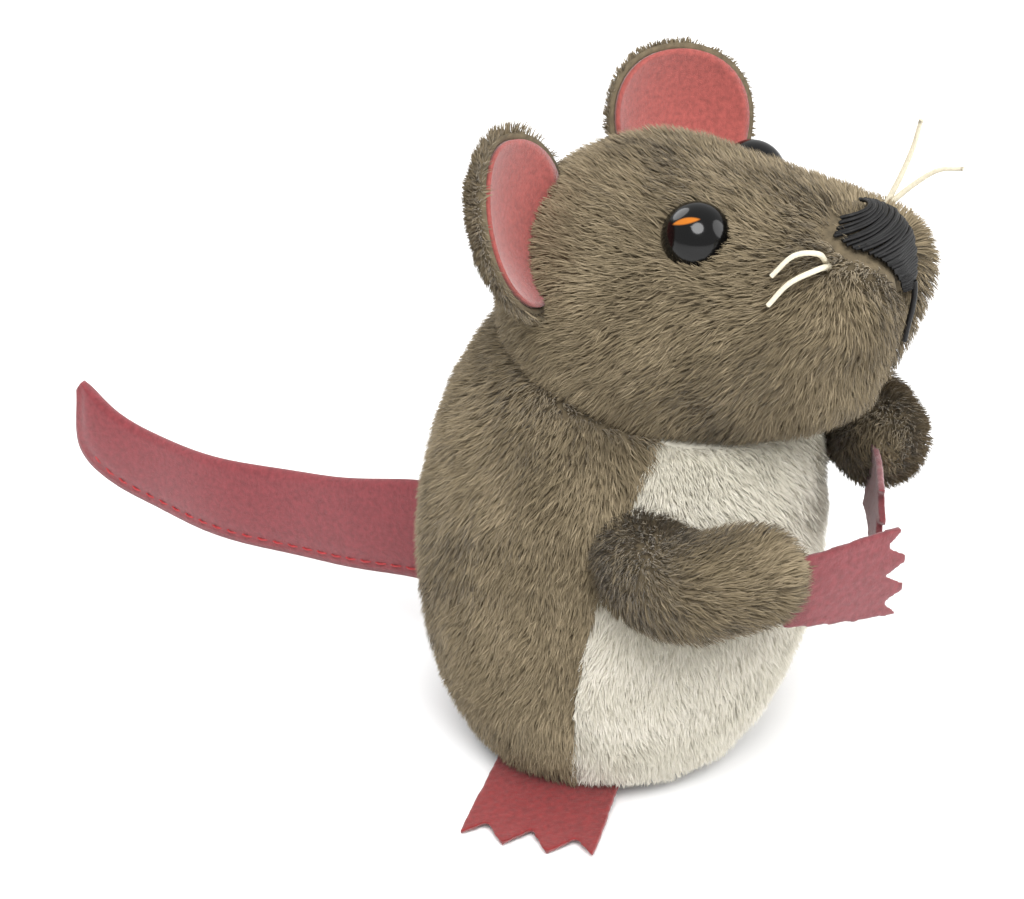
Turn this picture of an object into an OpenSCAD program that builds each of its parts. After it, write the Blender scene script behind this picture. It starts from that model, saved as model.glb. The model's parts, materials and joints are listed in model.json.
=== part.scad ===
// Plush-covered clockwork mouse: a stuffed, felt-trimmed mouse built round a spring motor.
// The mouse faces -Y with its tail along +Y. Z = 0 is the underside of the base plate.

/* [Body] */
// Radius of the stuffed body at its widest
body_r = 30.4; // [29.5:0.1:31]
// Half the height of the egg that shapes the body
body_h = 46.8; // [46:0.1:48]
// Height of the egg's centre above the base plate
body_z = 33.6; // [33:0.1:34.5]
// Forward lean of the body
body_lean = 5; // [3:0.5:6]
// Thickness of the plush cloth with its pressed pile
plush_t = 1.6; // [1.2:0.1:1.8]

/* [Head] */
// Radius of the back of the head
head_r = 23.6; // [23:0.1:24]
// Radius of each puffed cheek of the muzzle
muzzle_r = 9.4; // [9:0.1:9.8]
// Distance from the centre of the head to the centre of the cheeks
head_len = 31; // [30.5:0.1:31.5]
// How far the nose points up
head_pitch = 20; // [18:1:22]
// Tilt of the neck joint, front down
neck_tilt = 15.8; // [15:0.1:16.5]
// Diameter of each eye
eye_d = 9.4; // [9:0.1:10]
// Diameter of the rim of each ear
ear_d = 25; // [24:0.5:26]

/* [Limbs] */
// Radius of an arm
arm_r = 7.5; // [7:0.1:7.7]
// Thickness of the felt
felt_t = 1; // [0.8:0.1:1.2]
// Length of the tail outside the body
tail_len = 71; // [66:1:76]
// Height of the tail where it leaves the body
tail_root_h = 16.4; // [15:0.2:17]

/* [Clockwork] */
// Module of the gears
gear_m = 0.5; // [0.5]
// Teeth of the great wheel on the mainspring's arbor
great_teeth = 40; // [40]
// Teeth of the intermediate pinion
inter_pinion_teeth = 10; // [10]
// Teeth of the intermediate wheel
inter_teeth = 36; // [36]
// Teeth of the pinion on the drive axle
axle_teeth = 12; // [12]
// Teeth of the governor's pinion
governor_teeth = 8; // [8]
// Play between meshing teeth, along the pitch line
gear_play = 0.12; // [0.08:0.01:0.14]
// Diameter of the running wheels over their tyres
wheel_d = 16; // [16:0.1:16.4]
// Radial play of an arbor in its bearing
bearing_play = 0.05; // [0.03:0.01:0.08]

/* [Hidden] */
$fn = 64;

grey_fur = [0.47, 0.43, 0.35];
white_fur = [0.87, 0.85, 0.80];
felt_pink = [0.64, 0.35, 0.35];
felt_red = [0.60, 0.25, 0.23];
wadding = [0.93, 0.92, 0.88];
brass = [0.78, 0.62, 0.30];
steel = [0.62, 0.63, 0.66];
black = [0.05, 0.05, 0.05];

// Body
egg_y = -3;
seam_y = -5.8;              // where the side seam meets the base
seam_slope = -10.8;         // forward slope of the side seam, in degrees
base_r = 19;
base_t = 1.5;
ride_h = 3;                 // the base plate's height above the floor
body_gap = 0.4;             // between soft parts that move against each other

// Neck joint: a plane through neck_pos, tilted by neck_tilt
neck_pos = [0, -8.2, 64.3];
neck_disc_r = 11;
neck_disc_t = 2;
neck_pin_r = 1.5;

// Head, in its own frame: -Y forward, +Z up
head_pos = [0, -8.2, 74.1];
head_yaw = 2;
puff_x = 6;                 // sideways place of each puffed cheek
puff_z = -2;
bridge_pos = [0, -27, 2.5];
bridge_r = 10;
jowl_pos = [0, -21, -8.6];
jowl_r = 14;
head_fn = 28;
eye_r = eye_d / 2;
ear_depth = 4.6;
ear_back_t = 2.2;

// Limbs
shoulder = [28, -15.5, 45];
tail_pivot_y = 28.4;
tail_t = 2 * felt_t + 0.2;
foot_slope = 4.4;

// Clockwork, each arbor as [y, z], and layers along X
axle_at = [4, -ride_h + wheel_d / 2];
wheel_a_dist = gear_m * (inter_teeth + axle_teeth) / 2;
great_dist = gear_m * (great_teeth + inter_pinion_teeth) / 2;
governor_dist = gear_m * (inter_teeth + governor_teeth) / 2;
axle_dir = -33.5;           // from the intermediate arbor to the axle
great_dir = 61.3;           // from the intermediate arbor to the great wheel
governor_dir = 124.3;       // from the intermediate arbor to the governor
function polar(r, a) = [r * cos(a), r * sin(a)];
inter_at = axle_at - polar(wheel_a_dist, axle_dir);
great_at = inter_at + polar(great_dist, great_dir);
governor_at = inter_at + polar(governor_dist, governor_dir);
pillars_at = [[12.5, 12], [-14.3, 4.4], [-9.5, 31], [11.5, 31]];
pillar_r = 1;
plate_x = 6.6;              // inner face of each motor plate
plate_t = 0.8;
wheel_x = 10.5;             // middle of each running wheel
wheel_w = 3;
tyre_t = 1.6;
axle_r = 1;
inter_arbor_r = 0.75;
governor_arbor_r = 0.6;
great_arbor_r = 1;
cover_r = 18.6;
cover_t = 0.8;
cover_h = 36;
key_shaft_r = 1.9;
key_tunnel_r = 2.6;
ratchet_teeth = 12;
ratchet_tip_r = 4.2;
ratchet_root_r = 3.3;
ratchet_x = [-4.3, -3.5];
great_x = [-5.8, -4.6];
inter_x = [3, 4];
governor_x = [1.1, 2.2];
spring_x = [-3.1, 0.7];
click_pivot = polar(7, 65);
screw_pos = [[5, 11.2], [5, -12.7]];

// ---- General shapes ----

// Half outline of an egg, for rotate_extrude
function egg_points(r, h, n = 20) =
    [for (i = [0:n]) let (t = -90 + 180 * i / n) [i == 0 || i == n ? 0 : r * cos(t), h * sin(t)]];

// Turns +Z onto the direction d and moves the start to p
module along(p, d)
    translate(p) rotate([0, acos(d[2] / norm(d)), atan2(d[1], d[0])]) children();

// Turns a flat outline drawn in [y, z] into a plate from x[0] to x[1]
module plate_x(x) translate([x[0], 0, 0]) rotate([90, 0, 90]) linear_extrude(x[1] - x[0]) children();

// A round rod along X between x[0] and x[1], with its axis at [y, z]
module rod_x(x, r, at) plate_x(x) translate(at) circle(r);

// ---- Soft body ----

// The egg-shaped body, larger than its cloth by grow
module egg(grow = 0)
    translate([0, egg_y, body_z]) rotate([body_lean, 0, 0])
        rotate_extrude($fn = 96) polygon(egg_points(body_r + grow, body_h + grow));

// All that lies above the neck joint, from height off it
module above_neck(off) translate(neck_pos) rotate([neck_tilt, 0, 0])
    translate([-60, -60, off]) cube(120);
module below_neck(off) translate(neck_pos) rotate([neck_tilt, 0, 0])
    translate([-60, -60, off - 120]) cube(120);

// All that lies in front of the side seams
module front_of_seam() translate([0, seam_y, 0]) rotate([-seam_slope, 0, 0])
    translate([-60, -120, -60]) cube([120, 120, 180]);

module body_shell() difference() {
    egg();
    egg(-plush_t);
    above_neck(-body_gap / 2);
    translate([-60, -60, -60]) cube([120, 120, 60]);
    translate([0, 0, -1]) cylinder(h = base_t + 1.05, r = base_r + 0.05);
    rod_x([20, 45], key_tunnel_r + 1.5, great_at);
    translate([0, tail_pivot_y, -1]) cylinder(h = 60, r = tail_t / 2 + body_gap);
}

module key_eyelet() color(brass) translate([0, great_at[0], great_at[1]]) rotate([0, 90, 0])
    rotate_extrude() polygon([[key_tunnel_r, 26.5], [key_tunnel_r + 0.9, 26.5],
        [key_tunnel_r + 0.9, 30.4], [key_tunnel_r + 2.6, 30.4], [key_tunnel_r + 2.6, 31.2],
        [key_tunnel_r, 31.2]]);

module back_plush() color(grey_fur) difference() {
    body_shell();
    front_of_seam();
}

module belly_plush() color(white_fur) intersection() {
    body_shell();
    front_of_seam();
}

module body_stuffing() color(wadding) difference() {
    egg(-plush_t - 0.05);
    above_neck(-body_gap / 2);
    translate([-60, -60, -60 + base_t]) cube([120, 120, 60]);
    translate([0, 0, -1]) cylinder(h = cover_h + 1.1, r = cover_r + 0.1);
    rod_x([0, 45], key_tunnel_r + 1, great_at);
    translate([0, tail_pivot_y, -1]) cylinder(h = 60, r = tail_t / 2 + body_gap);
    neck_frame() translate([0, 0, -7]) cylinder(h = 8, r = neck_disc_r + 0.1);
}

// ---- Neck joint ----

module neck_frame() translate(neck_pos) rotate([neck_tilt, 0, 0]) children();

// One disc of the neck joint, with its bore
module neck_disc(z, bore) translate([0, 0, z]) difference() {
    cylinder(h = neck_disc_t, r = neck_disc_r);
    translate([0, 0, -1]) cylinder(h = neck_disc_t + 2, r = bore);
}

module neck_body_disc() color(black) neck_frame()
    neck_disc(-body_gap / 2 - neck_disc_t, neck_pin_r + 0.02);

module neck_head_disc() color(black) neck_frame()
    neck_disc(body_gap / 2, neck_pin_r + bearing_play);

module neck_pin() color(steel) neck_frame() {
    translate([0, 0, -body_gap / 2 - neck_disc_t - 1.3]) cylinder(h = 1.2, r = 3.2);
    translate([0, 0, -body_gap / 2 - neck_disc_t - 0.2]) cylinder(h = 2 * neck_disc_t + 3.4, r = neck_pin_r);
}

module neck_washer() color(steel) neck_frame() translate([0, 0, body_gap / 2 + neck_disc_t + 0.3])
    difference() {
        cylinder(h = 0.8, r = 4);
        translate([0, 0, -1]) cylinder(h = 3, r = neck_pin_r + 0.02);
    }

// ---- Head ----

module head_frame() translate(head_pos) rotate([-head_pitch, 0, 0]) rotate([0, 0, head_yaw]) children();

// The head's outer form, in the head's frame: skull, bridge, jowl and two puffed cheeks
module head_form(grow = 0) hull() {
    sphere(head_r + grow, $fn = head_fn);
    translate(bridge_pos) sphere(bridge_r + grow, $fn = head_fn);
    translate(jowl_pos) sphere(jowl_r + grow, $fn = head_fn);
    for (side = [-1, 1])
        translate([side * puff_x, -head_len, puff_z]) sphere(muzzle_r + grow, $fn = head_fn);
}

right_eye_pos = [-13, -16.4, 12.6];
left_eye_pos = [13, -15, 13.8];

// Places an eye's own frame, +Z out of the head
module eye_frame(p) along(p, [p[0], p[1] * 0.35, p[2] * 0.8]) children();

module eye_pocket(p) eye_frame(p) {
    sphere(eye_r + 0.05);
    translate([0, 0, -9]) cylinder(h = 6, r = 4.1);
}

module eye(p) head_frame() eye_frame(p) {
    sphere(eye_r);
    translate([0, 0, -8.4]) cylinder(h = 6, r = 1);
}

module right_eye() color(black) eye(right_eye_pos);
module left_eye() color(black) eye(left_eye_pos);

module eye_washers() color(black) head_frame() for (p = [right_eye_pos, left_eye_pos]) eye_frame(p)
    translate([0, 0, -7]) difference() {
        cylinder(h = 1, r = 4);
        translate([0, 0, -1]) cylinder(h = 3, r = 1.02);
    }

module head_plush() color(grey_fur) difference() {
    head_frame() difference() {
        head_form();
        head_form(-plush_t);
        eye_pocket(right_eye_pos);
        eye_pocket(left_eye_pos);
    }
    below_neck(body_gap / 2);
}

module head_stuffing() color(wadding) difference() {
    head_frame() difference() {
        head_form(-plush_t - 0.05);
        eye_pocket(right_eye_pos);
        eye_pocket(left_eye_pos);
    }
    below_neck(body_gap / 2);
    neck_frame() translate([0, 0, -1]) cylinder(h = neck_disc_t + 6, r = neck_disc_r + 0.1);
}

// An ear: a shallow cup from radius r0 to r1 about the middle of its sphere, opening along n
module ear_cup(p, n, inner, outer) {
    ball_r = (pow(ear_d / 2, 2) + pow(ear_depth, 2)) / (2 * ear_depth);
    half = asin(ear_d / 2 / ball_r);
    arc = [for (i = [0:8]) -90 + half * i / 8];
    head_frame() difference() {
        along(p, n) translate([0, 0, ball_r - ear_depth]) rotate_extrude()
            polygon(concat([for (a = arc) (ball_r - inner) * [a == -90 ? 0 : cos(a), sin(a)]],
                [for (i = [8:-1:0]) (ball_r + outer) * [i == 0 ? 0 : cos(arc[i]), sin(arc[i])]]));
        head_form(0.05);
    }
}

right_ear_pos = [-18.0, 6.6, 20.2];
left_ear_pos = [18.2, 1.5, 20.6];
right_ear_dir = [0.12, -0.99, -0.06];
left_ear_dir = [-0.40, -0.90, 0.10];

module right_ear_back() color(grey_fur) ear_cup(right_ear_pos, right_ear_dir, 0, ear_back_t);
module left_ear_back() color(grey_fur) ear_cup(left_ear_pos, left_ear_dir, 0, ear_back_t);
module right_ear_lining() color(felt_pink) ear_cup(right_ear_pos, right_ear_dir, felt_t, -0.02);
module left_ear_lining() color(felt_pink) ear_cup(left_ear_pos, left_ear_dir, felt_t, -0.02);

// The satin-stitched nose: a rounded triangle wrapped on the front of the muzzle
module nose_embroidery() color(black) head_frame() intersection() {
    difference() {
        head_form(0.8);
        head_form(0.05);
    }
    translate([0, -25, 0]) rotate([90, 0, 0]) linear_extrude(30)
        polygon([[-7, 6.4], [-4.5, 8.8], [4.5, 8.8], [7, 6.4], [1.4, -3], [-1.4, -3]]);
}

mouth_x = 0.35;             // radius of the mouth's thread
module mouth_stitch() color(black) head_frame() intersection() {
    difference() {
        head_form(0.6);
        head_form(0.05);
    }
    translate([-mouth_x, -60, -10.5]) cube([2 * mouth_x, 40, 7.4]);
}

whisker_pos = [10.6, -33.5, 5];
whisker_r = 0.45;
whisker_curl = 9;

// Two threads that curl out of one side of the muzzle, with side -1 or 1
module whiskers(side) head_frame() difference() {
    for (k = [0, 1]) mirror([side < 0 ? 1 : 0, 0, 0]) translate(whisker_pos)
        rotate([0, 0, -20 + 50 * k]) rotate([0, -25 - 20 * k, 0]) translate([0, 0, whisker_curl])
            rotate([90, 0, 0]) rotate([0, 0, -90]) rotate_extrude(angle = 80)
                translate([whisker_curl, 0]) circle(whisker_r, $fn = 16);
    head_form(0.05);
}

module right_whiskers() color(white_fur) whiskers(-1);
module left_whiskers() color(white_fur) whiskers(1);

// ---- Arms and hands ----

// Points down the middle of an arm on the left, from the seam to the wrist, raised by lift
function arm_path(lift) = [[31, -12, 45.5], [28.2, -27, 45.5 + lift / 2], [20.8, -34.6, 45.7 + lift]];
right_arm_lift = 0;
left_arm_lift = 2;
arm_fn = 24;
seam_face_dir = 30;         // direction of the arm's sewn face, in degrees from +Y

module arm_form(lift, grow) difference() {
    path = arm_path(lift);
    hull() for (p = path) translate(p) sphere(arm_r + grow, $fn = arm_fn);
    translate([shoulder[0], shoulder[1], 0]) rotate([0, 0, seam_face_dir])
        translate([-60, -body_gap, -60]) cube([120, 120, 240]);
}

module arm_plush(lift) color(grey_fur) difference() {
    arm_form(lift, 0);
    arm_form(lift, -plush_t);
    egg(body_gap);
}

module arm_stuffing(lift) color(wadding) difference() {
    arm_form(lift, -plush_t - 0.05);
    egg(body_gap);
}

hand_len = 14.5;
hand_w = 14.4;
wrist_w = 11;
finger_depth = 3.8;

// A felt paw from its wrist at [0, 0] towards +X, with four points
function paw_points(len, w0, w1, notch) = concat(
    [[0, -w0 / 2], [len - notch, -w1 / 2]],
    [for (i = [0:3]) each [[len - (i == 0 || i == 3 ? 0.8 : 0), w1 * (i / 3 - 0.5)],
        if (i < 3) [len - notch, w1 * ((i + 0.5) / 3 - 0.5)]]],
    [[len - notch, w1 / 2], [0, w0 / 2]]);

// The hand on the left arm, turned towards the middle of the chest
module hand(lift, turn) color(felt_pink) difference() {
    translate(arm_path(lift)[2]) rotate([0, 0, turn]) translate([4, felt_t / 2, 0]) rotate([90, 0, 0])
        linear_extrude(felt_t) polygon(paw_points(hand_len + 4, wrist_w, hand_w, finger_depth));
    arm_form(lift, 0.02);
    egg(body_gap);
}

module right_arm_plush() mirror([1, 0, 0]) arm_plush(right_arm_lift);
module right_arm_stuffing() mirror([1, 0, 0]) arm_stuffing(right_arm_lift);
module right_hand() mirror([1, 0, 0]) hand(right_arm_lift, 222);
module left_arm_plush() arm_plush(left_arm_lift);
module left_arm_stuffing() arm_stuffing(left_arm_lift);
module left_hand() hand(left_arm_lift, 212);

// ---- Feet and tail ----

foot_x = 17.4;
foot_y = -2;
foot_len = 18.6;
foot_w = 20.6;

module foot() color(felt_red) translate([foot_x, foot_y, -0.3]) rotate([0, foot_slope, 0])
    rotate([0, 0, -13]) translate([0, 0, -felt_t])
        linear_extrude(felt_t) polygon(paw_points(foot_len, foot_w - 1, foot_w, finger_depth + 0.6));

module left_foot() foot();
module right_foot() mirror([1, 0, 0]) foot();

// Side view of the tail as [y, z]: a strip that tapers and turns up at its tip
tail_z = 21.6;
tail_dip = 5;
tail_rise = 12;
function tail_mid(t) = [tail_pivot_y + tail_len * t,
    tail_z - tail_dip * sin(150 * t) + tail_rise * pow(t, 5)];
function tail_half(t) = (tail_root_h / 2 - 1.5 * t) * (t < 0.8 ? 1 : sqrt(1.0001 - pow((t - 0.8) / 0.2, 2)));
tail_steps = 16;

module tail_outline(inset = 0) polygon(concat(
    [for (i = [0:tail_steps]) let (t = i / tail_steps) tail_mid(t) + [0, tail_half(t) - inset]],
    [for (i = [tail_steps:-1:0]) let (t = i / tail_steps) tail_mid(t) - [0, tail_half(t) - inset]]));

module tail_felt() color(felt_pink) difference() {
    union() {
        plate_x([-tail_t / 2, tail_t / 2]) tail_outline();
        translate([0, tail_pivot_y, tail_z - tail_root_h / 2]) cylinder(h = tail_root_h, r = tail_t / 2);
    }
    tail_stitch_band(0.02);
}

// The line of machine stitches near the lower edge, wrapped through both layers
stitch_pitch = 2.8;
stitch_len = 1.9;
stitch_r = 0.25;
stitch_count = 22;
function stitch_at(i) = let (t = (3 + i * stitch_pitch) / tail_len)
    tail_mid(t) - [0, tail_half(t) - 1.6];

module tail_stitch_band(grow) for (i = [0:stitch_count - 1]) {
    p = stitch_at(i);
    q = stitch_at(i + 1);
    translate([0, p[0], p[1]]) rotate([atan2(q[1] - p[1], q[0] - p[0]), 0, 0])
        translate([-tail_t / 2 - stitch_r - grow, 0, -stitch_r - grow])
            cube([tail_t + 2 * stitch_r + 2 * grow, stitch_len + grow, 2 * (stitch_r + grow)]);
}

module tail_stitching() color(felt_red) tail_stitch_band(0);

// ---- Base and running gear ----

module wheel_slot(side) translate([side * wheel_x - (wheel_w + 1) / 2, axle_at[0] - wheel_d / 2 - 0.5, -1])
    cube([wheel_w + 1, wheel_d + 1, base_t + 2]);

module at_screws() for (side = [-1, 1]) for (p = screw_pos) translate([side * p[0], p[1], 0]) children();

skid_y = -13.4;

module base_plate() color(black) difference() {
    cylinder(h = base_t, r = base_r);
    wheel_slot(-1);
    wheel_slot(1);
    at_screws() translate([0, 0, -1]) cylinder(h = 4, r = 0.85);
    at_screws() translate([0, 0, -1]) cylinder(h = 1.9, r = 1.9);
    translate([0, skid_y, -1]) cylinder(h = 4, r = 1.2);
}

module front_skid() color(white_fur) translate([0, skid_y, 0]) {
    translate([0, 0, -ride_h]) cylinder(h = ride_h, r = 2.6);
    cylinder(h = base_t, r = 1.18);
}

module motor_screws() color(steel) at_screws() {
    translate([0, 0, 0.1]) cylinder(h = 0.78, r = 1.8);
    cylinder(h = base_t + 1.4, r = 0.8);
}

module drive_axle() color(steel) rod_x([-wheel_x - wheel_w / 2, wheel_x + wheel_w / 2], axle_r, axle_at);

module wheel(side) color(felt_red) translate([side * wheel_x, axle_at[0], axle_at[1]])
    rotate([0, 90, 0]) difference() {
        cylinder(h = wheel_w, r = wheel_d / 2 - tyre_t, center = true);
        cylinder(h = wheel_w + 1, r = axle_r + 0.01, center = true);
        for (face = [-1, 1]) translate([0, 0, face * wheel_w / 2]) rotate_extrude()
            polygon([[2.2, -0.7], [wheel_d / 2 - tyre_t - 1.2, -0.7], [wheel_d / 2 - tyre_t - 1.2, 0.7], [2.2, 0.7]]);
    }

module tyre(side) color(black) translate([side * wheel_x, axle_at[0], axle_at[1]])
    rotate([0, 90, 0]) rotate_extrude()
        polygon([[wheel_d / 2 - tyre_t + 0.01, -wheel_w / 2], [wheel_d / 2 - 0.4, -wheel_w / 2],
            [wheel_d / 2, -wheel_w / 2 + 0.5], [wheel_d / 2, wheel_w / 2 - 0.5],
            [wheel_d / 2 - 0.4, wheel_w / 2], [wheel_d / 2 - tyre_t + 0.01, wheel_w / 2]]);

module right_wheel() wheel(-1);
module left_wheel() wheel(1);
module right_tyre() tyre(-1);
module left_tyre() tyre(1);

// ---- Gears ----

pressure_angle = 20;
addendum = 0.75;
dedendum = 1.15;
pinion_limit = 12;          // up to this many teeth, the flanks run straight in to the root
flank_steps = 6;
function involute(a) = tan(a) * 180 / PI - a;

// Half the width of a tooth at radius r, in degrees
function tooth_half(r, z) =
    let (pitch_r = gear_m * z / 2, root_r = pitch_r * cos(pressure_angle),
        at_pitch = 90 / z - gear_play / pitch_r * 45 / PI)
    r < pitch_r && z <= pinion_limit ? at_pitch
        : at_pitch + involute(pressure_angle) - (r > root_r ? involute(acos(root_r / r)) : 0);

// A gear drawn flat, with the middle of one tooth at angle turn
module gear_outline(z, turn) {
    pitch_r = gear_m * z / 2;
    radii = [for (i = [0:flank_steps])
        pitch_r + gear_m * (-dedendum + (addendum + dedendum) * i / flank_steps)];
    polygon([for (k = [0:z - 1]) let (mid = turn + 360 * k / z) each concat(
        [for (r = radii) polar(r, mid - tooth_half(r, z))],
        [for (i = [flank_steps:-1:0]) polar(radii[i], mid + tooth_half(radii[i], z))])]);
}

// The turn that puts a gear of z2 teeth in mesh with one of z1 teeth at turn1, in direction dir
function mesh_turn(z1, turn1, z2, dir) = dir + 180 + 180 / z2 - (turn1 - dir) * z1 / z2;

great_turn = great_dir + 180;
inter_pinion_turn = mesh_turn(great_teeth, great_turn, inter_pinion_teeth, great_dir + 180);
inter_turn = axle_dir;
axle_turn = mesh_turn(inter_teeth, inter_turn, axle_teeth, axle_dir);
governor_turn = mesh_turn(inter_teeth, inter_turn, governor_teeth, governor_dir);

module gear(x, z, turn, at, bore) plate_x(x) translate(at) difference() {
    gear_outline(z, turn);
    circle(bore);
}

module great_wheel() color(brass) difference() {
    gear(great_x, great_teeth, great_turn, great_at, great_arbor_r + bearing_play);
    for (i = [0:3]) rod_x([great_x[0] - 1, great_x[1] + 1], 1.7, great_at + polar(6, 20 + 90 * i));
    rod_x([great_x[0] - 1, great_x[1] + 1], 0.62, great_at + click_pivot);
}

module click_rivet() color(steel) {
    rod_x([great_x[0], ratchet_x[1] + 0.1], 0.6, great_at + click_pivot);
    rod_x([ratchet_x[1] + 0.1, ratchet_x[1] + 0.35], 1, great_at + click_pivot);
}

// The click pushes the great wheel round by the ratchet's radial faces
module click() color(steel) difference() {
    plate_x(ratchet_x) translate(great_at) difference() {
        union() {
            translate(click_pivot) circle(1.2);
            polygon([[3.5, 0.12], [4.3, 0.12], [5.4, 2.6], click_pivot + [1.15, 0], click_pivot + [-0.9, -0.6],
                [4.3, 2.4]]);
        }
        translate(click_pivot) circle(0.6 + bearing_play);
    }
}

module click_spring() color(brass) plate_x(ratchet_x) translate(great_at)
    polygon([[7.3, 2.4], [8.3, 2.4], [8.3, 3.4], [7.5, 3.4], [4.9, 6.9], [4.6, 6.6], [7.1, 3.3]]);

module ratchet_wheel() color(steel) plate_x(ratchet_x) translate(great_at) difference() {
    polygon([for (i = [0:ratchet_teeth - 1]) each [
        polar(ratchet_tip_r, 360 / ratchet_teeth * i), polar(ratchet_root_r, 360 / ratchet_teeth * i)]]);
    circle(great_arbor_r + 0.01);
}

module winding_arbor() color(steel)
    rod_x([-plate_x - plate_t - 0.6, plate_x + plate_t + 6], great_arbor_r, great_at);

key_start = 8.2;
key_bow_x = 35;
key_bow_len = 11;

module key_stem() color(brass) difference() {
    rod_x([key_start, key_bow_x], key_shaft_r, great_at);
    rod_x([key_start - 1, plate_x + plate_t + 6.2], great_arbor_r + 0.01, great_at);
}

module key_bow() color(brass) translate([key_bow_x, great_at[0] + 0.7, great_at[1]])
    rotate([90, 0, 0]) linear_extrude(1.4) difference() {
        union() {
            translate([0.01, -2.4]) square([2.5, 4.8]);
            for (s = [-1, 1]) translate([5.4, s * 5.2]) circle(5.4);
        }
        for (s = [-1, 1]) translate([5.4, s * 5.6]) circle(2.6);
    }

module intermediate_arbor() color(steel)
    rod_x([-plate_x - plate_t, plate_x + plate_t], inter_arbor_r, inter_at);
module intermediate_pinion() color(brass)
    gear([-6.2, -4.2], inter_pinion_teeth, inter_pinion_turn, inter_at, inter_arbor_r + 0.01);
module intermediate_wheel() color(brass) difference() {
    gear(inter_x, inter_teeth, inter_turn, inter_at, inter_arbor_r + 0.01);
    for (i = [0:4]) rod_x([inter_x[0] - 1, inter_x[1] + 1], 1.8, inter_at + polar(5.2, 72 * i));
}
module axle_pinion() color(brass)
    gear([2.5, 4.5], axle_teeth, axle_turn, axle_at, axle_r + 0.01);

module governor_arbor() color(steel) {
    rod_x([-plate_x - plate_t, 2.5], governor_arbor_r, governor_at);
    plate_x([2.5, 4.5]) translate(governor_at) gear_outline(governor_teeth, governor_turn);
    rod_x([4.5, plate_x + plate_t], governor_arbor_r, governor_at);
}
module governor_flywheel() color(brass) difference() {
    rod_x(governor_x, 4.3, governor_at);
    rod_x([governor_x[0] - 1, governor_x[1] + 1], governor_arbor_r + 0.01, governor_at);
}

// ---- Motor frame ----

module motor_plate(side) color(steel) difference() {
    union() {
        mirror([side < 0 ? 1 : 0, 0, 0]) {
            plate_x([plate_x, plate_x + plate_t])
                polygon([[-15.4, base_t], [13, base_t], [14.6, 5], [14.6, 30], [12, 33.4], [-11, 33.4],
                    [-15.4, 24]]);
            for (p = screw_pos) translate([3.2, p[1] - 1.7, base_t]) cube([plate_x - 3.2, 3.4, 1]);
        }
    }
    for (bore = [[axle_r, axle_at], [inter_arbor_r, inter_at], [governor_arbor_r, governor_at],
            [great_arbor_r, great_at]])
        rod_x([-plate_x - 2, plate_x + 2], bore[0] + bearing_play, bore[1]);
    for (p = pillars_at) rod_x([-plate_x - 2, plate_x + 2], 0.62, p);
    at_screws() translate([0, 0, base_t - 0.5]) cylinder(h = 2, r = 0.82);
}

module right_motor_plate() motor_plate(-1);
module left_motor_plate() motor_plate(1);

module motor_pillars() color(brass) for (p = pillars_at) difference() {
    rod_x([-plate_x, plate_x], pillar_r, p);
    rod_x([-plate_x - 1, plate_x + 1], 0.62, p);
}

module pillar_screws() color(steel) for (p = pillars_at) for (side = [-1, 1]) mirror([side < 0 ? 1 : 0, 0, 0]) {
    rod_x([plate_x - 3, plate_x + plate_t], 0.6, p);
    rod_x([plate_x + plate_t, plate_x + plate_t + 0.7], pillar_r + 0.1, p);
}

spring_coils = 7;
spring_t = 0.3;
spring_in_r = 1.5;
spring_out_r = 9;
spring_steps = 20;
hook_r = 1.1;               // inner radius of the spring's end, hooked round its pillar
hook_at = pillars_at[3] - great_at;
function spring_mid(i) = polar(spring_in_r + (spring_out_r - spring_in_r) * i / (spring_coils * spring_steps),
    20 + 360 * i / spring_steps);

module mainspring() color(steel) plate_x(spring_x) translate(great_at) {
    n = spring_coils * spring_steps;
    polygon(concat(
        [for (i = [0:n]) spring_mid(i) * (1 + spring_t / 2 / norm(spring_mid(i)))],
        [for (a = [-60:15:150]) hook_at + polar(hook_r + spring_t, a)],
        [for (a = [150:-15:-60]) hook_at + polar(hook_r, a)],
        [for (i = [n:-1:0]) spring_mid(i) * (1 - spring_t / 2 / norm(spring_mid(i)))]));
}

module motor_cover() color(black) difference() {
    translate([0, 0, base_t]) cylinder(h = cover_h - base_t, r = cover_r);
    translate([0, 0, base_t - 1]) cylinder(h = cover_h - base_t - cover_t + 1, r = cover_r - cover_t);
    rod_x([5, 45], key_shaft_r + 0.3, great_at);
}

base_plate();
front_skid();
motor_screws();
right_motor_plate();
left_motor_plate();
motor_pillars();
pillar_screws();
mainspring();
winding_arbor();
ratchet_wheel();
key_stem();
key_bow();
great_wheel();
click();
click_rivet();
click_spring();
intermediate_arbor();
intermediate_pinion();
intermediate_wheel();
governor_arbor();
governor_flywheel();
drive_axle();
axle_pinion();
right_wheel();
left_wheel();
right_tyre();
left_tyre();
motor_cover();
key_eyelet();
body_stuffing();
back_plush();
belly_plush();
neck_body_disc();
neck_head_disc();
neck_pin();
neck_washer();
head_stuffing();
head_plush();
right_ear_back();
left_ear_back();
right_ear_lining();
left_ear_lining();
right_eye();
left_eye();
eye_washers();
nose_embroidery();
mouth_stitch();
right_whiskers();
left_whiskers();
right_arm_plush();
left_arm_plush();
right_arm_stuffing();
left_arm_stuffing();
right_hand();
left_hand();
right_foot();
left_foot();
tail_felt();
tail_stitching();
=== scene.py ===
"""Looks of the plush-covered clockwork mouse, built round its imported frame. Lengths are in millimetres."""
import json
import math

import bmesh
import bpy
import numpy as np
from mathutils import Matrix, Vector
from mathutils.kdtree import KDTree


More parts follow.
